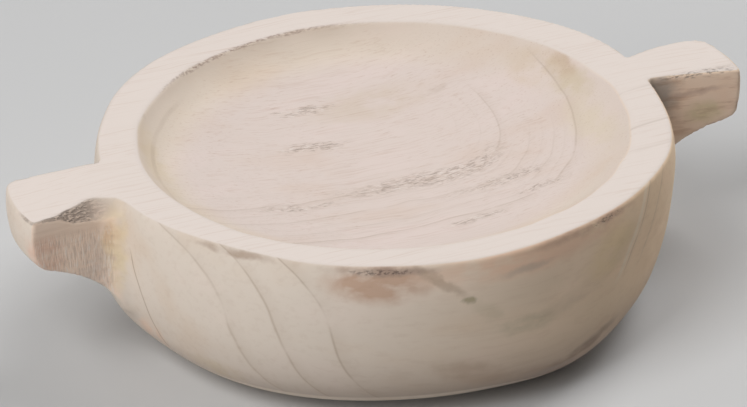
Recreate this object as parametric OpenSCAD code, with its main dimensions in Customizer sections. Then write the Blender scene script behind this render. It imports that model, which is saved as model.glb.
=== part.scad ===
// Carved wooden dough bowl: an oval bowl and two lug handles, worked from one block of wood.
// Millimetres, +Z up. +X runs along the lugs towards the far lug, and +Y is away from the viewer.
// The origin lies under the middle of the whole piece, on the surface that the bowl stands on.

/* [Bowl] */
// Outside length of the rim, along the lugs
rim_l = 311; // [260:1:420]
// Outside width of the rim, across the lugs
rim_w = 289; // [250:1:380]
// Height from the foot to the rim
height = 102; // [80:1:130]
// How far the wall swells out past the rim at its widest level
swell = 3.6; // [1:0.1:8]
// Height of the shoulder, from the widest level up to the rim
shoulder_h = 22; // [12:1:36]
// Radius of the flank, the long curve of the wall below the widest level
flank_r = 180; // [150:1:260]
// Radius of the belly, the tight curve from the flank round to the foot
belly_r = 41; // [20:1:52]

/* [Rim and inside] */
// Width of the rim's flat top, across the lugs
rim_t = 18.7; // [12:0.1:30]
// Depth of the inside at its middle, below the rim
dish_depth = 32; // [25:0.5:60]
// Radius of the curve between the inside wall and the floor
dish_r = 30; // [20:1:36]
// Slope of the inside wall at the rim, in degrees from level
dish_slope = 65; // [50:1:80]
// Rounding of the rim's outer edge
outer_edge_r = 3; // [1:0.1:6]
// Rounding of the rim's inner edge
inner_edge_r = 2; // [0.5:0.1:5]

/* [Lugs] */
// How far the near lug stands out past the rim
near_reach = 54.5; // [30:0.5:80]
// How far the far lug stands out past the rim
far_reach = 57; // [30:0.5:80]
// Width of the near lug where it leaves the rim
near_root_w = 41; // [24:0.5:60]
// Width of the far lug where it leaves the rim
far_root_w = 29; // [24:0.5:60]
// Width of both lugs at the tip
lug_tip_w = 45; // [30:0.5:70]
// Thickness of both lugs at the tip
lug_tip_h = 28; // [18:0.5:40]
// Depth of both lugs against the wall, measured down from the rim
lug_root_h = 62.5; // [42:0.5:70]
// How far the lugs' top slopes down from the rim to the tip
lug_drop = 2; // [0:0.1:6]
// How far both lugs sit off the middle of the bowl, away from the viewer
lug_shift = 3.5; // [0:0.5:10]
// Radius of the hollow cut under each lug
scoop_r = 80; // [60:1:160]
// Rounding of the lugs' upright corners
lug_corner_r = 6; // [2:0.5:12]
// Rounding of the lugs' lower end edge
lug_under_r = 7; // [2:0.5:10]

/* [Hidden] */
$fn = 128;

wood = [0.85, 0.79, 0.74];

// Overrun of every cut past the face that it opens
over = 20;
// Longest straight stretch that stands for part of a curve in an outline, and the fewest on one curve
arc_chord = 8;
arc_steps_min = 4;
// How deep the lugs' roots run into the wall, so that they grow out of it
lug_bury = 12;

// The bowl is turned as a round one of the rim's width, then drawn out along X to the rim's length
draw_out = rim_l / rim_w;
rim_r = rim_w / 2;

// Wall, as three arcs that run into each other: shoulder, flank and belly
wide_r = rim_r + swell;
wide_h = height - shoulder_h;
shoulder_r = (shoulder_h * shoulder_h + swell * swell) / (2 * swell);
shoulder_c = [wide_r - shoulder_r, wide_h];
flank_c = [wide_r - flank_r, wide_h];
belly_reach = flank_r - belly_r;
belly_c = [flank_c[0] + sqrt(pow(belly_reach, 2) - pow(wide_h - belly_r, 2)), belly_r];

// Outer edge of the rim, an arc that touches the rim's top and the shoulder
edge_reach = shoulder_r - outer_edge_r;
edge_h = height - outer_edge_r;
edge_c = [shoulder_c[0] + sqrt(pow(edge_reach, 2) - pow(edge_h - wide_h, 2)), edge_h];

// Inside, as a corner arc that starts at the rim and runs into one wide arc for the floor
mouth_r = rim_r - rim_t;
corner_c = [mouth_r - dish_r * sin(dish_slope), height + dish_r * cos(dish_slope)];
corner_rise = corner_c[1] - (height - dish_depth);
floor_r = (pow(corner_c[0], 2) + pow(corner_rise, 2) - pow(dish_r, 2)) / (2 * (corner_rise - dish_r));
floor_c = [0, height - dish_depth + floor_r];

// Inner edge of the rim, an arc that touches the rim's top and the inside wall
lip_reach = dish_r + inner_edge_r;
lip_h = height - inner_edge_r;
lip_c = [corner_c[0] + sqrt(pow(lip_reach, 2) - pow(corner_c[1] - lip_h, 2)), lip_h];

// The whole piece reaches from tip to tip, so the bowl stands this far off the middle
bowl_x = (near_reach - far_reach) / 2;

// Direction from one point to another, in degrees
function heading(from, to) = atan2(to[1] - from[1], to[0] - from[0]);

// Points along an arc, no further apart than the chord
function arc(centre, radius, start, end) =
    let (steps = max(arc_steps_min, ceil(abs(end - start) * PI / 180 * radius / arc_chord)))
        [for (i = [0:steps]) centre + radius * [cos(start + (end - start) * i / steps),
                                                sin(start + (end - start) * i / steps)]];

// Half of the bowl's outline in section, without the hollow: foot, belly, flank, shoulder and rim
module wall_section() {
    polygon(concat([[0, 0]],
                   arc(belly_c, belly_r, -90, heading(flank_c, belly_c)),
                   arc(flank_c, flank_r, heading(flank_c, belly_c), 0),
                   arc(shoulder_c, shoulder_r, 0, heading(shoulder_c, edge_c)),
                   arc(edge_c, outer_edge_r, heading(shoulder_c, edge_c), 90),
                   [[0, height]]));
}

// Half of the hollow in section: floor, corner, inside wall and the rim's eased inner edge
module hollow_section() {
    polygon(concat(arc(floor_c, floor_r, -90, heading(floor_c, corner_c)),
                   arc(corner_c, dish_r, heading(floor_c, corner_c), heading(corner_c, lip_c)),
                   arc(lip_c, inner_edge_r, heading(lip_c, corner_c), 90),
                   [[lip_c[0], height + over], [0, height + over]]));
}

// A section turned round, a quarter at a time, and drawn out to the oval of the rim
module drawn_round() {
    for (quarter = [0:3])
        scale([draw_out, 1, 1])
            rotate([0, 0, quarter * 90])
                rotate_extrude(angle = 90)
                    children();
}

// Lug seen from above, running out along +X from inside the wall, with rounded upright corners
module lug_plan(tip_x, root_x, root_w) {
    flare = atan2((lug_tip_w - root_w) / 2, tip_x - root_x);
    buried_w = root_w - 2 * lug_bury * tan(flare);
    corner_x = tip_x - lug_corner_r;
    corner_y = root_w / 2 + (corner_x - root_x) * tan(flare) - lug_corner_r / cos(flare);
    polygon(concat([[root_x - lug_bury, -buried_w / 2]],
                   arc([corner_x, -corner_y], lug_corner_r, -90 - flare, 0),
                   arc([corner_x, corner_y], lug_corner_r, 0, 90 + flare),
                   [[root_x - lug_bury, buried_w / 2]]));
}

// Lug seen from the side: a top that falls a little, an upright end and a hollowed underside
module lug_side(tip_x, root_x) {
    tip = [tip_x, height - lug_drop - lug_tip_h];
    root = [root_x, height - lug_root_h];
    half_span = norm(tip - root) / 2;
    rise = sqrt(pow(scoop_r, 2) - pow(half_span, 2));
    slant = (tip - root) / norm(tip - root);
    scoop_c = (tip + root) / 2 + rise * [slant[1], -slant[0]];
    end_x = tip_x - lug_under_r;
    end_c = [end_x, scoop_c[1] + sqrt(pow(scoop_r + lug_under_r, 2) - pow(end_x - scoop_c[0], 2))];
    buried_x = root_x - lug_bury;
    polygon(concat([[buried_x, height], [root_x, height], [tip_x, height - lug_drop]],
                   arc(end_c, lug_under_r, 0, heading(end_c, scoop_c)),
                   arc(scoop_c, scoop_r, heading(scoop_c, end_c), heading(scoop_c, root)),
                   [[buried_x, root[1]]]));
}

// One lug handle, standing out along +X
module lug(reach, root_w) {
    root_x = rim_l / 2;
    tip_x = root_x + reach;
    translate([0, lug_shift, 0])
        intersection() {
            linear_extrude(height = height + over)
                lug_plan(tip_x, root_x, root_w);
            translate([0, lug_tip_w, 0])
                rotate([90, 0, 0])
                    linear_extrude(height = 2 * lug_tip_w)
                        lug_side(tip_x, root_x);
        }
}

// The whole bowl, one solid as it is carved from the block
module bowl() {
    color(wood)
        translate([bowl_x, 0, 0])
            difference() {
                union() {
                    drawn_round()
                        wall_section();
                    lug(far_reach, far_root_w);
                    mirror([1, 0, 0])
                        lug(near_reach, near_root_w);
                }
                drawn_round()
                    hollow_section();
            }
}

bowl();
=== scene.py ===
"""A dough bowl, carved with its two lugs from one block of pale bleached wood."""

import math

import bpy
import numpy as np
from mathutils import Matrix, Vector


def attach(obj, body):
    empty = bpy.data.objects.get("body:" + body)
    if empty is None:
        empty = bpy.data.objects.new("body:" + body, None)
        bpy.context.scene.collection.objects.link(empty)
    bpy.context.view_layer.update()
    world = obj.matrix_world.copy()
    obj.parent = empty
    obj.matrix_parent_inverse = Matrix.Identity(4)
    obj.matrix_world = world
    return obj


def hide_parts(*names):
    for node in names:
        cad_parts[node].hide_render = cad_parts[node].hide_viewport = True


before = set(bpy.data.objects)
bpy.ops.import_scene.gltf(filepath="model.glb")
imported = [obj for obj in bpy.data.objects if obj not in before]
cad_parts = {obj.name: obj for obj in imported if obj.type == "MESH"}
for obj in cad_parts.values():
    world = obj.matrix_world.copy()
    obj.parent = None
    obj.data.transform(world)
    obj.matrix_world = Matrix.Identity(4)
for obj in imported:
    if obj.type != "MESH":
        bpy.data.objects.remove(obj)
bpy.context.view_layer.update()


# The view: a long lens looks down on the bowl from the side of the near lug.
# The lens stands in the direction that azimuth and elevation give, seen from the point that it is aimed at.
aim = Vector((0.0019, 0.0242, 0.0402))
view_azimuth = 23.34
view_elevation = 30.23
view_distance = 1.6566
lens_mm = 143.26
sensor_mm = 36
sight = 20

camera_data = bpy.data.cameras.new("camera")
camera_data.lens = lens_mm
camera_data.sensor_width = sensor_mm
camera_data.clip_end = sight
camera = bpy.data.objects.new("camera", camera_data)
level = math.cos(math.radians(view_elevation))
looking = Vector((level * math.sin(math.radians(view_azimuth)),
                  level * math.cos(math.radians(view_azimuth)),
                  -math.sin(math.radians(view_elevation))))
camera.location = aim - view_distance * looking
camera.rotation_euler = looking.to_track_quat("-Z", "Y").to_euler()
bpy.context.scene.collection.objects.link(camera)
bpy.context.scene.camera = camera


# The room: a plain floor, with broad lamps high and low in front on the near lug's side and again behind it.
# The floor is pale to the camera, and throws back less light on the bowl than it seems to.
floor_size = 12
floor_shade = 0.62
floor_bounce = 0.55
floor_roughness = 0.9
sky_shade = 0.86
sky_strength = 0.02
lamp_size = 1.5
lamps = {
    # name: where it stands, and its power in watts
    "front high": ((-1.79, -0.71, 2.30), 44),
    "front low": ((-2.62, -1.04, 1.03), 21),
    "back high": ((1.79, 0.71, 2.30), 44),
    "back low": ((2.62, 1.04, 1.03), 13),
    "left": ((-1.77, 0.76, 2.30), 7),
    "behind": ((1.12, 2.59, 1.03), 6),
}

floor_mesh = bpy.data.meshes.new("floor")
half = floor_size / 2
floor_corners = [(-half, -half, 0), (half, -half, 0), (half, half, 0), (-half, half, 0)]
floor_mesh.from_pydata(floor_corners, [], [(0, 1, 2, 3)])
floor = bpy.data.objects.new("floor", floor_mesh)
bpy.context.scene.collection.objects.link(floor)
floor_paint = bpy.data.materials.new("floor_paint")
floor_paint.use_nodes = True
floor_shader = floor_paint.node_tree.nodes["Principled BSDF"]
floor_shader.inputs["Roughness"].default_value = floor_roughness
seen_or_bounced = floor_paint.node_tree.nodes.new("ShaderNodeMix")
seen_or_bounced.data_type = "RGBA"
seen_or_bounced.inputs["A"].default_value = (floor_bounce, floor_bounce, floor_bounce, 1)
seen_or_bounced.inputs["B"].default_value = (floor_shade, floor_shade, floor_shade, 1)
light_path = floor_paint.node_tree.nodes.new("ShaderNodeLightPath")
floor_paint.node_tree.links.new(light_path.outputs["Is Camera Ray"], seen_or_bounced.inputs["Factor"])
floor_paint.node_tree.links.new(seen_or_bounced.outputs["Result"], floor_shader.inputs["Base Color"])
floor_mesh.materials.append(floor_paint)

sky = bpy.data.worlds.new("sky")
sky.use_nodes = True
sky.node_tree.nodes["Background"].inputs["Color"].default_value = (sky_shade, sky_shade, sky_shade, 1)
sky.node_tree.nodes["Background"].inputs["Strength"].default_value = sky_strength
bpy.context.scene.world = sky

for name, (stand, watts) in lamps.items():
    lamp_data = bpy.data.lights.new(name, "AREA")
    lamp_data.size = lamp_size
    lamp_data.energy = watts
    lamp = bpy.data.objects.new(name, lamp_data)
    lamp.location = stand
    lamp.rotation_euler = (-Vector(stand)).to_track_quat("-Z", "Y").to_euler()
    bpy.context.scene.collection.objects.link(lamp)

bpy.context.scene.view_settings.view_transform = "Standard"


# The bowl: an oval bowl with a flat rim and two lugs, all one block of pale bleached softwood.
# It was roughed out with adze and gouge and finished with a rasp, so its faces wave a little, its edges are
# broken here and there, and nothing joins its parts. It stands on its flat foot.

# The shape is a field of distances to the bowl's faces, in millimetres round the bowl's middle, and is then
# skinned. The grain and the lugs run along x, with the far lug at +x.

# Body
rim_l = 311
rim_w = 289
height = 102
swell = 3.6
shoulder_h = 22
flank_r = 180
belly_r = 41
outer_edge_r = 1.2
wall_swells = [
    # how proud in mm, compass heading in degrees, level, and the spread and rise over which it fades
    (2.6, 18, 100, 26, 40),
    (1.0, 88, 100, 12, 30),
    (1.6, 32, 102, 24, 24),
    (2.2, 129, 100, 18, 30),
    (4.6, 174, 30, 14, 30),
    (-1.8, 248, 6, 18, 24),
    (3.2, 292, 14, 16, 34),
    (-0.7, 334, 76, 10, 24),
    (1.6, 192, 104, 10, 22),
    (-3.8, 217, 106, 16, 44),
    (-1.2, 240, 106, 14, 44),
    (-1.3, 293, 106, 14, 44),
    (1.3, 330, 104, 14, 22),
    (-2.4, 352, 106, 16, 22),
    (-1.0, 152, 96, 8, 16),
    (1.9, 90, 104, 95, 12),
]

# Hollow, whose side leans further back from one place along x to another
rim_t = 18.7
dish_depth = 32
floor_r = 340
side_slope = 65
far_side_slope = 38
lean_from = 20
lean_to = 120
crease_r = 8
inner_edge_r = 1.6

# Lugs
lug_drop = 2
lug_edge_r = 1.1
lug_end_r = 6
lug_under_r = 7
lug_root_z = 38
lug_root_x = 132
scoop_r = 80
far_root_r = 2.5
near_root_r = 12
notch_r = 1.5
lug_fade = 50
bevel_depth = 7.5

# The bowl stands this far off the middle of the whole piece, because the far lug is the longer one
bowl_x = -1.25

# The skin's little cubes, and how often its points are evened out
skin_pitch = 1.8
settling_rounds = 4

# The bowl is shaped as a round one of the rim's width, and drawn out along x to the rim's length.
# q is the distance from the middle in that round bowl.
draw_out = rim_l / rim_w
wide_r = rim_w / 2 + swell
wide_h = height - shoulder_h
mouth_r = rim_w / 2 - rim_t
headroom = 14


def arc(centre, radius, start, end):
    """Points along an arc in a section, about a millimetre apart, from one heading to another in degrees."""
    turns = np.radians(np.linspace(start, end, max(3, round(abs(end - start) * radius / 60))))
    return [(centre[0] + radius * math.cos(t), centre[1] + radius * math.sin(t)) for t in turns]


def heading(a, b):
    return math.degrees(math.atan2(b[1] - a[1], b[0] - a[0]))


def wall_section():
    """Foot, belly, flank and shoulder, run on above the rim, where the top is cut off later."""
    shoulder_r = (shoulder_h ** 2 + swell ** 2) / (2 * swell)
    shoulder_c = (wide_r - shoulder_r, wide_h)
    flank_c = (wide_r - flank_r, wide_h)
    belly_c = (flank_c[0] + math.sqrt((flank_r - belly_r) ** 2 - (wide_h - belly_r) ** 2), belly_r)
    turn = heading(flank_c, belly_c)
    top_turn = math.degrees(math.asin((shoulder_h + headroom) / shoulder_r))
    return ([(-rim_w, -headroom), (belly_c[0], -headroom)]
            + arc(belly_c, belly_r, -90, turn)
            + arc(flank_c, flank_r, turn, 0)
            + arc(shoulder_c, shoulder_r, 0, top_turn)
            + [(-rim_w, height + headroom)])


def distance_to(outline, u, v):
    """Signed distance to a closed outline, negative inside it."""
    nearest = np.full(u.shape, np.inf)
    inside = np.zeros(u.shape, bool)
    for (u0, v0), (u1, v1) in zip(outline, outline[1:] + outline[:1]):
        du, dv = u1 - u0, v1 - v0
        if math.hypot(du, dv) < 1e-6:
            continue
        along = np.clip(((u - u0) * du + (v - v0) * dv) / (du * du + dv * dv), 0, 1)
        nearest = np.minimum(nearest, np.hypot(u - u0 - along * du, v - v0 - along * dv))
        if dv:
            inside ^= ((v0 > v) != (v1 > v)) & (u < u0 + (v - v0) * du / dv)
    return np.where(inside, -nearest, nearest)


def turned(outline, pitch=0.5):
    """A section's distances, measured once on a fine table and read off between its marks."""
    us = np.arange(0, rim_w * 0.8, pitch)
    vs = np.arange(-headroom, height + headroom, pitch)
    table = distance_to(outline, *np.meshgrid(us, vs, indexing="ij"))

    def read(q, z):
        i = np.clip((q - us[0]) / pitch, 0, len(us) - 1.001)
        j = np.clip((z - vs[0]) / pitch, 0, len(vs) - 1.001)
        i0, j0 = i.astype(int), j.astype(int)
        i, j = i - i0, j - j0
        return ((1 - i) * ((1 - j) * table[i0, j0] + j * table[i0, j0 + 1])
                + i * ((1 - j) * table[i0 + 1, j0] + j * table[i0 + 1, j0 + 1]))
    return read


def eased(a, b, r):
    """What lies inside both faces, with the edge between them rounded."""
    return np.minimum(-r, np.maximum(a, b)) + np.hypot(np.maximum(r + a, 0), np.maximum(r + b, 0))


def grown(a, b, r):
    """What lies inside either face, with a hollow fillet where they meet."""
    return np.maximum(r, np.minimum(a, b)) - np.hypot(np.maximum(r - a, 0), np.maximum(r - b, 0))


def handwork(x, y, z, length, seed):
    """Gentle unevenness left by hand tools: waves of about one length, between -1 and 1."""
    lines = np.random.default_rng(seed).normal(size=(6, 3))
    lines /= np.linalg.norm(lines, axis=1, keepdims=True)
    starts = np.random.default_rng(seed + 1).uniform(0, 2 * math.pi, 6)
    waves = [np.sin(2 * math.pi * (x * a + y * b + z * c) / length + s) for (a, b, c), s in zip(lines, starts)]
    return sum(waves) / 3


def fuller(x, y, z, towards, level, spread, rise):
    """How fully a place on the wall shares in a swell: wholly at one heading and level, less around them."""
    off = (np.degrees(np.arctan2(y, x)) - towards + 180) % 360 - 180
    return np.exp(-(off / spread) ** 2 - ((z - level) / rise) ** 2)


wall_distance = turned(wall_section())


def wall_field(x, y, z, q):
    """The outside of the wall, fuller and flatter in places than the even oval."""
    wall = wall_distance(q, z) + 0.4 * handwork(x, y, z, length=90, seed=3)
    for amount, towards, level, spread, rise in wall_swells:
        wall = wall - amount * fuller(x, y, z, towards, level, spread, rise)
    return wall


def dish_field(x, y, z, q):
    """The hollow: a wide shallow floor, and a side that meets it in a crease and leans back by the far lug."""
    towards_far = np.clip((x - lean_from) / (lean_to - lean_from), 0, 1)
    lean = (side_slope - far_side_slope) * towards_far ** 2 * (3 - 2 * towards_far)
    slope = np.radians(side_slope - lean)
    floor = np.hypot(q, z - (height - dish_depth + floor_r)) - floor_r
    side = (q - mouth_r) * np.sin(slope) - (z - height) * np.cos(slope)
    long_waves = 0.4 * handwork(x, y, z, length=60, seed=9)
    short_waves = 0.25 * handwork(x, y, z, length=22, seed=15)
    return eased(floor, side, crease_r) + long_waves + short_waves


def lug(out, y, z, front, back, end, scoop_c):
    """A lug standing out from the wall: a crisp front, and back, end and scoop that round into each other."""
    buried = np.maximum(lug_root_z - z, lug_root_x - out)
    under = np.maximum(scoop_r - np.hypot(out - scoop_c[0], z - scoop_c[1]), buried)
    blunt = eased(eased(y - back, under, lug_under_r), out - end, lug_end_r)
    return eased(blunt, front - y, lug_edge_r)


def far_lug_field(x, y, z):
    """The far lug, whose front is straight, its back curved and its end slightly domed."""
    return lug(x, y, z,
               front=18.9 - 0.16 * x,
               back=28.4 - (x - 197) ** 2 / 205,
               end=212.7 - (y - 2) ** 2 / 190 - (z - 88) ** 2 / 200,
               scoop_c=(220.4, -9.3))


def near_lug_field(x, y, z):
    """The near lug, with straight sides, and a ragged bevel along its front top edge, deepest by the wall."""
    front = -7.5 + 0.058 * x
    near_lug = lug(-x, y, z,
                   front=front,
                   back=17.6 - 0.049 * x,
                   end=210 - (y - 3) ** 2 / 150 - (z - 89) ** 2 / 120,
                   scoop_c=(223, -7.1))
    clear_of_rim = np.clip((-x - 148) / 12, 0, 1)
    short_of_tip = np.clip((209 + x) / 36, 0, 1)
    ragged = bevel_depth * clear_of_rim * short_of_tip - 0.5 + 0.5 * handwork(x, y, z, length=12, seed=12)
    return np.maximum(near_lug, (z - height + front - y) * 0.7 + ragged)


def bowl_field(x, y, z):
    """Distance to the finished bowl's surface, negative in the wood."""
    q = np.hypot(x / draw_out, y)
    in_front = np.clip((6 - y) / 16, 0, 1)
    near_r = notch_r + (near_root_r - notch_r) * in_front
    block = grown(wall_field(x, y, z, q), far_lug_field(x, y, z), far_root_r)
    block = grown(block, near_lug_field(x, y, z), near_r)
    at_lug = np.clip((np.abs(x) - rim_l / 2) / lug_fade, 0, 1)
    top = z - height + lug_drop * at_lug + 0.25 * handwork(x, y, z, length=70, seed=5)
    block = eased(block, top, outer_edge_r + (lug_edge_r - outer_edge_r) * at_lug)
    return np.maximum(eased(block, -dish_field(x, y, z, q), inner_edge_r), -z)


def skinned(field, low, high, pitch):
    """Points and four-sided faces over a field's surface: one point in each little cube that it passes."""
    marks = [np.arange(a, b + pitch, pitch) for a, b in zip(low, high)]
    inside = field(*np.meshgrid(*marks, indexing="ij")) < 0
    nx, ny, nz = (n - 1 for n in inside.shape)
    corners = sum(inside[i:nx + i, j:ny + j, k:nz + k].astype(int)
                  for i in (0, 1) for j in (0, 1) for k in (0, 1))
    cut = (corners > 0) & (corners < 8)
    number = np.full(cut.shape, -1)
    number[cut] = np.arange(cut.sum())
    points = np.stack([m[i] + pitch / 2 for m, i in zip(marks, np.nonzero(cut))], axis=1)
    faces = []
    for axis in range(3):
        ahead = np.roll(inside, -1, axis)
        at = np.argwhere(inside != ahead)
        b, c = (axis + 1) % 3, (axis + 2) % 3
        ring = []
        for step_b, step_c in ((0, 0), (-1, 0), (-1, -1), (0, -1)):
            cell = at.copy()
            cell[:, b] += step_b
            cell[:, c] += step_c
            ring.append(number[tuple(cell.T)])
        ring = np.stack(ring, axis=1)
        leaving = inside[tuple(at.T)]
        ring[~leaving] = ring[~leaving, ::-1]
        faces.append(ring)
    return points, np.concatenate(faces)


def settled(field, points, faces, rounds):
    """The skin's points evened out among their neighbours and drawn onto the surface again, a few times."""
    near = np.concatenate([faces[:, [i, (i + 1) % 4]] for i in range(4)])
    near = np.concatenate([near, near[:, ::-1]])
    share = np.bincount(near[:, 0], minlength=len(points))[:, None]
    step = 0.05
    for _ in range(rounds):
        around = [np.bincount(near[:, 0], points[near[:, 1], i], len(points)) for i in range(3)]
        points = (points + np.stack(around, axis=1) / share) / 2
        for _ in range(3):
            off = field(*points.T)[:, None]
            slope = (np.stack([field(*(points + n).T) for n in step * np.eye(3)], axis=1) - off) / step
            steep = np.maximum((slope ** 2).sum(axis=1, keepdims=True), 0.1)
            points = points - np.clip(off / steep, -1, 1) * slope
    return points


reach = rim_l / 2 + 60
points, faces = skinned(bowl_field, (-reach, -wide_r - 6, -4), (reach, wide_r + 6, height + 5), skin_pitch)
points = settled(bowl_field, points, faces, settling_rounds)
points = (points + [bowl_x, 0, 0]) / 1000

bowl_mesh = bpy.data.meshes.new("carved_bowl")
bowl_mesh.from_pydata(points.tolist(), [], faces.tolist())
bowl_mesh.validate()
bowl_mesh.shade_smooth()
bowl = bpy.data.objects.new("carved_bowl", bowl_mesh)
bpy.context.scene.collection.objects.link(bowl)
print("bowl mesh:", len(bowl_mesh.vertices), "points,", len(bowl_mesh.polygons), "faces")

# The wood is pinkish white where the top has been planed, and yellower on the wall and inside.
# It is drawn in the same millimetres as the shape.
wood_roughness = 0.72
wood_relief = 0.001

# Colours by zone
planed = (0.815, 0.72, 0.66)
cream = (0.77, 0.67, 0.575)
straw = (0.89, 0.67, 0.46)
floor_wood = (0.765, 0.655, 0.60)
side_wood = (0.775, 0.665, 0.56)
# Painted shade: the dark colour the wall takes on low down and towards the right
low_wall_shade = (0.38, 0.295, 0.24)
lug_brown = (0.97, 0.75, 0.60)

# Colours of its marks
mottle_dark = (0.97, 0.935, 0.90)
mottle_pale = (1.03, 1.02, 1.03)
ring_brown = (0.40, 0.29, 0.20)
streak_pale = (0.92, 0.78, 0.62)
grain_tint = (0.92, 0.88, 0.85)
vein_tint = (0.80, 0.73, 0.68)
hair_tint = (0.86, 0.80, 0.76)
torn_tint = (0.68, 0.55, 0.47)
torn_brown = (0.36, 0.27, 0.21)
tear_dark = (0.14, 0.105, 0.09)
# the line under the hollow's back edge: partly torn fibres and partly painted shadow
bevel_brown = (0.48, 0.37, 0.30)
edge_tear_and_shade_brown = (0.30, 0.19, 0.15)
rasp_brown = (0.38, 0.30, 0.27)
fleck_pale = (0.90, 0.84, 0.79)

# Where the year rings show: each with its depth in the block, its strength and how far it fades on one side
left_rings = [(-126.5, 0.75, 6), (-107, 0.85, 7), (-84, 0.95, 8)]
right_rings = [(41, 0.7, 4), (55, 0.5, 4)]
back_rings = [(-118, 0.5, 5), (-74, 0.8, 6), (-47, 0.6, 5), (18, 0.7, 6), (63, 0.8, 5), (97, 0.5, 5)]
floor_rings = [(24, 0.1, 8), (40, 0.12, 6), (54, 0.55, 7), (106, 0.75, 7)]
low_rings = [(64, 0.25, 4), (75, 0.4, 5), (84, 0.2, 4), (92, 0.35, 6), (99, 0.2, 4)]
top_rings = [(-92, 0.5, 4), (-70, 0.5, 4), (-34, 0.4, 4)]

# Where the wood is stained, torn or broken, and where shade is painted on it
stains_and_shade = [
    # centre, reach, slope of the patch along x, colour and strength
    # inside, most of them round the side
    ((121, 22, 96), (12, 30, 12), 0, (0.67, 0.56, 0.40), 0.6),
    ((124, 34, 99), (8, 18, 9), 0, (0.60, 0.44, 0.31), 0.5),
    ((112, 46, 94), (22, 30, 12), 0, (0.70, 0.56, 0.42), 0.5),
    ((112, -20, 90), (22, 40, 10), 0, (0.76, 0.65, 0.52), 0.5),
    ((56, 64, 81), (16, 4, 6), 0, (0.50, 0.38, 0.30), 0.25),
    ((20, 68, 79), (50, 18, 22), 0, (0.66, 0.54, 0.41), 0.32),
    ((-123, 32, 94), (12, 62, 14), 0, (0.72, 0.59, 0.42), 0.45),
    ((118, -40, 90), (16, 62, 14), 0, (0.74, 0.64, 0.50), 0.35),
    ((-118, 70, 100), (6, 8, 4), 0, (0.50, 0.40, 0.32), 0.4),
    # under the rim in front
    ((-62, -132, 93), (38, 30, 14), 0, (0.60, 0.41, 0.30), 1),
    ((30, -142, 98), (92, 50, 13), 0.03, (0.84, 0.56, 0.40), 0.65),
    ((-33, -141, 93), (20, 20, 5), -0.7, (0.48, 0.35, 0.25), 0.5),
    ((-18, -145, 80), (5, 10, 3), 0, (0.32, 0.27, 0.14), 0.55),
    ((-3, -146, 66), (18, 20, 10), -0.9, (0.50, 0.42, 0.27), 0.2),
    ((14, -145, 58), (24, 20, 8), -0.1, (0.48, 0.41, 0.27), 0.36),
    ((38, -142, 62), (20, 20, 7), 0.1, (0.50, 0.38, 0.26), 0.24),
    ((60, -134, 69), (30, 20, 8), 0.33, (0.52, 0.38, 0.25), 0.3),
    ((76, -128, 78), (36, 40, 26), 0.3, (0.98, 0.71, 0.49), 0.4),
    ((50, -138, 76), (32, 30, 20), 0.2, (1.0, 0.77, 0.58), 0.42),
    ((80, -125, 80), (18, 20, 12), 0.5, (0.52, 0.40, 0.25), 0.24),
    ((68, -130, 80), (28, 30, 18), 0.3, (0.88, 0.67, 0.40), 0.5),
    # painted shade on the wall's far right
    ((112, -100, 60), (34, 60, 60), 0, (0.78, 0.55, 0.36), 0.4),
    # painted shade above the foot
    ((-14, -140, 32), (30, 40, 12), -0.4, (0.48, 0.34, 0.24), 0.4),
    ((20, -137, 21), (40, 40, 7), 0, (0.46, 0.34, 0.26), 0.45),
    ((54, -133, 25), (34, 40, 6), 0.3, (0.30, 0.21, 0.16), 0.6),
    ((34, -133, 12), (70, 60, 10), 0, (0.42, 0.37, 0.35), 0.3),
    # close to the rim's outer edge, with painted shade along the edge itself, and low down by the near lug
    ((52, -133, 99.5), (54, 30, 4), 0, (0.46, 0.29, 0.21), 0.5),
    ((-58, -132, 99), (34, 30, 3), 0, (0.36, 0.26, 0.21), 0.55),
    ((-122, -88, 99.5), (26, 30, 3), 0, (0.46, 0.34, 0.26), 0.65),
    ((14, -144, 91), (20, 12, 3), 0.06, (0.45, 0.38, 0.32), 0.35),
    ((-147, -30, 26), (10, 16, 16), 0, (0.82, 0.54, 0.38), 0.4),
    ((-126, -72, 22), (22, 24, 10), 0, (0.62, 0.50, 0.35), 0.45),
    # the near lug's front, its corner with the wall, and the streak below that
    ((-211, 2, 86), (9, 30, 22), 0, (0.74, 0.60, 0.48), 0.3),
    ((-201, -19, 78), (16, 12, 17), 0, (0.80, 0.50, 0.37), 0.5),
    ((-173, -17, 66), (13, 12, 22), 0, (0.56, 0.49, 0.46), 0.4),
    ((-162, -20, 80), (10, 12, 34), 0, (0.80, 0.62, 0.36), 0.45),
    ((-164, -20, 83), (4.5, 10, 12), -0.8, (0.70, 0.43, 0.26), 0.42),
    ((-162, -20, 64), (5, 12, 26), 0, (0.79, 0.67, 0.46), 0.36),
    # the far lug's front, and a darker patch in its corner with the wall
    ((190, -12, 76), (16, 12, 10), 0, (0.66, 0.56, 0.32), 0.5),
    ((204, -13, 86), (12, 12, 13), 0, (0.92, 0.66, 0.49), 0.5),
    # darker in the corner where the far lug meets the wall
    ((160, -6, 86), (20, 14, 34), 0, (0.50, 0.42, 0.36), 0.9),
    ((184, -11, 89), (26, 12, 3), 0.1, (0.56, 0.38, 0.30), 0.5),
]
torn_loop = ((20, -8, 72), (78, 26, 16))
bevel_patch = ((-184, -13, 97), (38, 14, 10))
back_edge = ((-40, 112, 101), (95, 50, 20))
torn_patches = [
    # centre and reach of each place on the floor where the gouge tore the fibres
    ((-26, 41, 74), (30, 6, 12)),
    ((20, -70, 79), (28, 6, 10)),
    ((-60, -20, 76), (40, 5, 10)),
    ((44, -36, 78), (50, 8, 10)),
    ((-20, 74, 78), (30, 4, 10)),
    ((66, -58, 82), (26, 5, 10)),
]
broken_patches = [
    # centre and reach of each broken stretch: the far lug's top edge, and two places under the rim
    ((182, -11, 100), (40, 7, 2.5)),
    ((-58, -132, 99), (30, 12, 2)),
    ((66, -128, 99), (16, 12, 2)),
]


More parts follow.
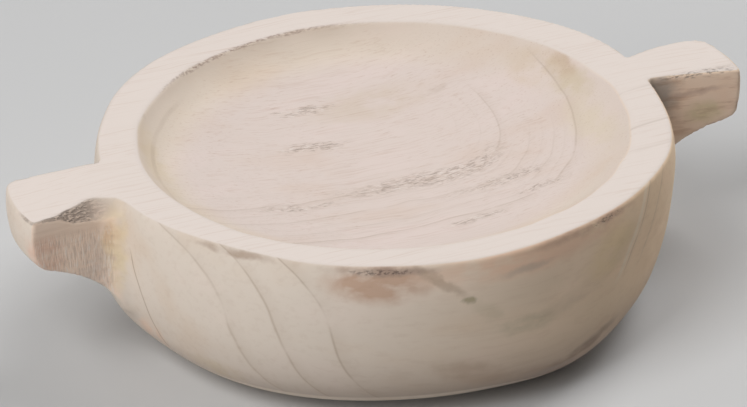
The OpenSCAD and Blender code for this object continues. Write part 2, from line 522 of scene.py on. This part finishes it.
def node(tree, kind, feeds, **settings):
    """A shader node of one kind, each socket set to a value or fed by another node's output."""
    made = tree.nodes.new("ShaderNode" + kind)
    for name, value in settings.items():
        setattr(made, name, value)
    for name, value in feeds.items():
        if isinstance(value, bpy.types.NodeSocket):
            tree.links.new(value, made.inputs[name])
        else:
            made.inputs[name].default_value = value
    return made


def calc(tree, operation, *values):
    return node(tree, "Math", dict(enumerate(values)), operation=operation).outputs[0]


def times(tree, first, *others):
    for other in others:
        first = calc(tree, "MULTIPLY", first, other)
    return first


def added(tree, base, value, share=1.0):
    """The base and a share of the value, which may be less than nothing."""
    return calc(tree, "MULTIPLY_ADD", value, share, base)


def vector_calc(tree, operation, *values):
    return node(tree, "VectorMath", dict(enumerate(values)), operation=operation).outputs["Vector"]


def vector_length(tree, vector):
    return node(tree, "VectorMath", {0: vector}, operation="LENGTH").outputs["Value"]


def noise(tree, place, fineness, detail, **more):
    """Noise over a place, finer the larger the fineness, which can differ along x, y and z."""
    scaled = vector_calc(tree, "MULTIPLY", place, fineness)
    return node(tree, "TexNoise", {"Vector": scaled, "Scale": 1, "Detail": detail, **more}).outputs


def shifted(tree, place, drift, reach):
    """A place moved by noise, up to half the reach each way."""
    middle = vector_calc(tree, "ADD", place, tuple(-r / 2 for r in reach))
    return vector_calc(tree, "MULTIPLY_ADD", drift["Color"], reach, middle)


def spread(tree, value, low, high, kind="SMOOTHSTEP"):
    """0 at the low mark and 1 at the high one, which may also lie the other way round."""
    return node(tree, "MapRange", {"Value": value, "From Min": low, "From Max": high},
                interpolation_type=kind).outputs[0]


def near_to(tree, value, mark, gone, full):
    """1 where a value is as close to the mark as full says, and 0 where it is as far off as gone says."""
    return spread(tree, calc(tree, "ABSOLUTE", calc(tree, "SUBTRACT", value, mark)), gone, full)


def blend(tree, amount, under, over, kind="MIX"):
    under, over = (c if isinstance(c, bpy.types.NodeSocket) else (*c, 1) for c in (under, over))
    return node(tree, "Mix", {"Factor": amount, 6: under, 7: over},
                data_type="RGBA", blend_type=kind).outputs[2]


def new_group(name, inputs):
    """A node group with the inputs named and one output, Amount."""
    tree = bpy.data.node_groups.new(name, "ShaderNodeTree")
    for socket, kind in inputs:
        tree.interface.new_socket(socket, in_out="INPUT", socket_type="NodeSocket" + kind)
    tree.interface.new_socket("Amount", in_out="OUTPUT", socket_type="NodeSocketFloat")
    return tree, tree.nodes.new("NodeGroupInput").outputs, tree.nodes.new("NodeGroupOutput").inputs["Amount"]


# Patch: a soft-edged spot, full in its middle and gone at its reach, that can slope along x
patch, given, amount = new_group(
    "patch", [("Place", "Vector"), ("Centre", "Vector"), ("Reach", "Vector"), ("Slope", "Float")])
off = vector_calc(patch, "SUBTRACT", given["Place"], given["Centre"])
off_x = node(patch, "SeparateXYZ", {"Vector": off}).outputs["X"]
sloping = node(patch, "CombineXYZ", {"Z": times(patch, off_x, given["Slope"])}).outputs[0]
off = vector_calc(patch, "DIVIDE", vector_calc(patch, "SUBTRACT", off, sloping), given["Reach"])
patch.links.new(spread(patch, vector_length(patch, off), 1, 0.3), amount)

# Fibres: noise drawn out along the grain, as fine as the width and as long as the length
fibres, given, amount = new_group(
    "fibres", [("Place", "Vector"), ("Length", "Float"), ("Width", "Float"), ("Detail", "Float")])
sizes = node(fibres, "CombineXYZ", {"X": given["Length"], "Y": given["Width"], "Z": given["Width"]}).outputs[0]
drawn_out = vector_calc(fibres, "DIVIDE", given["Place"], sizes)
fibres.links.new(noise(fibres, drawn_out, (1, 1, 1), given["Detail"], Roughness=0.6)[0], amount)


def patch_at(tree, place, centre, reach, slope=0.0):
    feeds = {"Place": place, "Centre": centre, "Reach": reach, "Slope": slope}
    return node(tree, "Group", feeds, node_tree=patch).outputs["Amount"]


def fibres_of(tree, place, length, width, detail):
    feeds = {"Place": place, "Length": length, "Width": width, "Detail": detail}
    return node(tree, "Group", feeds, node_tree=fibres).outputs["Amount"]


def ring_lines(tree, depth, low, high, rings):
    """The year rings as a ramp over their depth: each a thin line with a faint shade on its deeper side."""
    ramp = node(tree, "ValToRGB", {"Fac": spread(tree, depth, low, high, "LINEAR")})
    marks = ramp.color_ramp.elements
    marks[0].color, marks[1].color = (0, 0, 0, 1), (0, 0, 0, 1)
    for at, strength, fade in rings:
        for place, value in ((at - 0.8, 0), (at, strength), (at + 0.8, strength * 0.25), (at + fade, 0)):
            marks.new((place - low) / (high - low)).color = (value, value, value, 1)
    return ramp.outputs["Color"]


wood = bpy.data.materials.new("bleached_wood")
wood.use_nodes = True
tree = wood.node_tree

# Places: as they are, wandering a little for lines and grain, and ragged for the edges of patches
coordinates = node(tree, "TexCoord", {}).outputs["Object"]
place = vector_calc(tree, "MULTIPLY_ADD", coordinates, (1000, 1000, 1000), (-bowl_x, 0, 0))
wandering = shifted(tree, place, noise(tree, place, (0.022, 0.022, 0.022), 2), (5, 7, 4))
ragged = shifted(tree, place, noise(tree, place, (0.12, 0.12, 0.12), 3), (12, 12, 5))
facing = node(tree, "SeparateXYZ", {"Vector": node(tree, "NewGeometry", {}).outputs["Normal"]}).outputs
x, y, z = node(tree, "SeparateXYZ", {"Vector": place}).outputs
wx, wy, wz = node(tree, "SeparateXYZ", {"Vector": wandering}).outputs
q = vector_length(tree, node(tree, "CombineXYZ", {"X": calc(tree, "DIVIDE", x, draw_out), "Y": y}).outputs[0])

# Zones: the planed top with the lugs', the hollow, the outside, the lugs' fronts and the end grain
out = calc(tree, "SUBTRACT", calc(tree, "ABSOLUTE", x), rim_l / 2)
level_z = added(tree, z, spread(tree, out, 0, lug_fade, "LINEAR"), lug_drop)
on_top = times(tree, spread(tree, level_z, 100.5, 101.4), spread(tree, facing["Z"], 0.72, 0.95))
off_top = calc(tree, "SUBTRACT", 1, on_top)
inside = times(tree, spread(tree, q, mouth_r + 8, mouth_r + 6), off_top)
outside = calc(tree, "SUBTRACT", 1, calc(tree, "MAXIMUM", inside, on_top))
in_front = times(tree, spread(tree, y, 10, -10), outside)
front_face = times(tree, spread(tree, facing["Y"], -0.55, -0.85), spread(tree, out, 2, 8))
end_grain = spread(tree, calc(tree, "ABSOLUTE", facing["X"]), 0.2, 0.55)
level_ground = times(tree, inside, spread(tree, facing["Z"], 0.6, 0.9))

# Colours: the wall from left to right, with painted shade darkening it down towards the foot, the inside, the
# planed top and the lugs' fronts
strawy = times(tree, spread(tree, x, -110, 110), spread(tree, y, 50, -30))
colour = blend(tree, strawy, cream, straw)
# Painted shade, darker towards the foot and towards the right
shade_low_down = times(tree, spread(tree, z, 58, 0), spread(tree, x, -280, 60))
colour = blend(tree, shade_low_down, colour, low_wall_shade)
up_the_side = times(tree, spread(tree, q, 96, 116), spread(tree, x, 220, 0))
colour = blend(tree, inside, colour, blend(tree, up_the_side, floor_wood, side_wood))
mottle = noise(tree, place, (0.012, 0.03, 0.03), 3)[0]
colour = blend(tree, spread(tree, mottle, 0.50, 0.72), colour, mottle_dark, "MULTIPLY")
colour = blend(tree, spread(tree, mottle, 0.50, 0.30), colour, mottle_pale, "MULTIPLY")
colour = blend(tree, on_top, colour, planed)
colour = blend(tree, times(tree, front_face, 0.8), colour, lug_brown)

# Stains and painted shade, clouded so that none is even, and never on the planed top
cloud = noise(tree, place, (0.05, 0.08, 0.1), 4)[0]
stain_and_shade_cloud = times(tree, spread(tree, cloud, 0.25, 0.58), off_top, 1.2)
for centre, reach, slope, tint, strength in stains_and_shade:
    spot = times(tree, patch_at(tree, ragged, centre, reach, slope), stain_and_shade_cloud, strength)
    colour = blend(tree, spot, colour, tint)

# Year rings on the outside: slanting lines down the wall's left half and on the back, two by a pale streak
# near the far lug, and one fine upright crack by the near lug
rise = calc(tree, "SUBTRACT", wz, 62)
leant = added(tree, added(tree, wx, times(tree, rise, rise, rise), 0.00016), rise, 0.25)
left_lines = times(tree, ring_lines(tree, leant, -160, -40, left_rings), spread(tree, wx, -48, -54))
right = added(tree, wx, wz, -0.62)
right_lines = times(tree, ring_lines(tree, right, 20, 80, right_rings),
                    spread(tree, z, 58, 70), spread(tree, wx, 66, 76))
crack = times(tree, near_to(tree, added(tree, wy, wz, -0.2), -43, 0.9, 0.2),
              spread(tree, x, -120, -135), spread(tree, z, 80, 70), spread(tree, z, 14, 24))
front_lines = calc(tree, "MAXIMUM", calc(tree, "ADD", left_lines, right_lines), crack)
back_lines = times(tree, ring_lines(tree, leant, -160, 140, back_rings), spread(tree, y, 50, 70))
lines = calc(tree, "ADD", times(tree, front_lines, in_front), times(tree, back_lines, outside))

# Year rings inside: long loops on the floor, and a line along the crease by the near lug
loop_x = times(tree, calc(tree, "MAXIMUM", calc(tree, "SUBTRACT", wx, 40), 0), 1.4)
loop_y = added(tree, calc(tree, "SUBTRACT", wy, 45), calc(tree, "ABSOLUTE", wx), 0.1)
floor_depth = vector_length(tree, node(tree, "CombineXYZ", {"X": loop_x, "Y": loop_y}).outputs[0])
floor_lines = times(tree, ring_lines(tree, floor_depth, 0, 160, floor_rings), spread(tree, y, 68, 38))
low_lines = times(tree, ring_lines(tree, floor_depth, 0, 160, low_rings), spread(tree, y, 20, -36))
crease_line = times(tree, near_to(tree, q, 118, 1.6, 0.4), spread(tree, x, -80, -100), 0.35)
floor_lines = calc(tree, "MAXIMUM", calc(tree, "ADD", floor_lines, low_lines), crease_line)
lines = added(tree, lines, times(tree, floor_lines, inside))

# Year rings on the top, where they run out at the far end. All the rings come and go along their length.
across_top = added(tree, wy, wx, -0.13)
top_lines = times(tree, ring_lines(tree, across_top, -160, 160, top_rings), spread(tree, x, 100, 118))
lines = added(tree, lines, times(tree, top_lines, on_top))
coming_and_going = noise(tree, place, (0.045, 0.045, 0.045), 2)[0]
lines = times(tree, lines, spread(tree, coming_and_going, 0.22, 0.52))
colour = blend(tree, times(tree, lines, 0.62), colour, ring_brown)
pale_streak = times(tree, near_to(tree, right, 37.5, 3, 0.5), spread(tree, z, 56, 66),
                    spread(tree, wx, 62, 72), in_front)
colour = blend(tree, times(tree, pale_streak, 0.5), colour, streak_pale)

# Grain: fine streaks everywhere but on end grain, veins on the lugs' fronts and hairs on the level floor
streaks = fibres_of(tree, wandering, length=60, width=1.6, detail=2)
streaks = times(tree, streaks, calc(tree, "SUBTRACT", 1, end_grain), added(tree, 1, outside, -0.4))
colour = blend(tree, spread(tree, streaks, 0.50, 0.80), colour, grain_tint, "MULTIPLY")
veins = fibres_of(tree, wandering, length=45, width=3.5, detail=3)
vein_depth = times(tree, front_face, added(tree, 0.3, spread(tree, x, 0, 1), 0.6))
vein_depth = calc(tree, "MAXIMUM", vein_depth, times(tree, outside, 0.2))
colour = blend(tree, times(tree, vein_depth, spread(tree, veins, 0.48, 0.70)), colour, vein_tint, "MULTIPLY")
hairs = fibres_of(tree, wandering, length=26, width=0.7, detail=2)
colour = blend(tree, times(tree, level_ground, spread(tree, hairs, 0.56, 0.76)), colour, hair_tint, "MULTIPLY")

# Torn fibres: short dark dashes with pale flecks, along one loop of the floor and in patches
dashes = fibres_of(tree, place, length=5, width=0.8, detail=2)
torn = times(tree, spread(tree, floor_depth, 43, 50), spread(tree, floor_depth, 66, 57),
             patch_at(tree, ragged, *torn_loop))
for centre, reach in torn_patches:
    torn = calc(tree, "MAXIMUM", torn, patch_at(tree, ragged, centre, reach))
torn_dark = times(tree, torn, spread(tree, dashes, 0.52, 0.66))
torn_pale = times(tree, torn, spread(tree, dashes, 0.44, 0.34))
colour = blend(tree, times(tree, torn, 0.3), colour, torn_tint)
colour = blend(tree, times(tree, torn_dark, 0.45), colour, torn_brown)
colour = blend(tree, times(tree, torn_pale, 0.5), colour, fleck_pale)

# Dark ragged places where the fibres broke away, the near lug's bevel and the broken stretches, and the
# hollow's edge at the back, whose dark line is partly torn fibres and partly painted shadow under that edge
speckle = noise(tree, place, (0.35, 1.0, 0.9), 3)[0]
on_bevel = times(tree, spread(tree, facing["Z"], 0.25, 0.5), spread(tree, facing["Z"], 0.92, 0.8),
                 patch_at(tree, place, *bevel_patch))
broken = times(tree, on_bevel, spread(tree, speckle, 0.38, 0.58), spread(tree, x, -158, -184))
for centre, reach in broken_patches:
    spot = times(tree, patch_at(tree, place, centre, reach), spread(tree, speckle, 0.46, 0.72))
    broken = calc(tree, "MAXIMUM", broken, spot)
# Partly torn fibres and partly painted shadow, just under the hollow's back edge
edge_tear_and_shade = times(tree, near_to(tree, q, mouth_r - 0.1, 1.3, 0.2), spread(tree, z, 97, 99),
                  patch_at(tree, ragged, *back_edge), spread(tree, speckle, 0.36, 0.66))
colour = blend(tree, times(tree, on_bevel, 0.65), colour, bevel_brown)
colour = blend(tree, times(tree, broken, 0.62), colour, tear_dark)
colour = blend(tree, times(tree, edge_tear_and_shade, 0.75), colour, edge_tear_and_shade_brown)

# Rasp marks: close upright scratches on the near lug's front
rasped = times(tree, front_face, spread(tree, x, -160, -166), spread(tree, z, 92, 84))
scratches = noise(tree, place, (1.3, 0.3, 0.2), 2)[0]
colour = blend(tree, times(tree, rasped, spread(tree, scratches, 0.50, 0.72), 0.32), colour, rasp_brown)
colour = blend(tree, times(tree, rasped, spread(tree, scratches, 0.48, 0.32), 0.45), colour, fleck_pale)

# The surface is dull, and the streaks, tears, broken edges and scratches can just be felt
grain_height = added(tree, times(tree, streaks, 0.1), torn_dark, -0.25)
grain_height = added(tree, grain_height, broken, -0.5)
grain_height = added(tree, grain_height, times(tree, rasped, scratches), -0.25)
bump = node(tree, "Bump", {"Strength": 1, "Distance": wood_relief, "Height": grain_height}).outputs["Normal"]
wood_shader = tree.nodes["Principled BSDF"]
wood_shader.inputs["Roughness"].default_value = wood_roughness
tree.links.new(colour, wood_shader.inputs["Base Color"])
tree.links.new(bump, wood_shader.inputs["Normal"])
bowl_mesh.materials.append(wood)

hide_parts("bowl")
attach(bowl, "root")
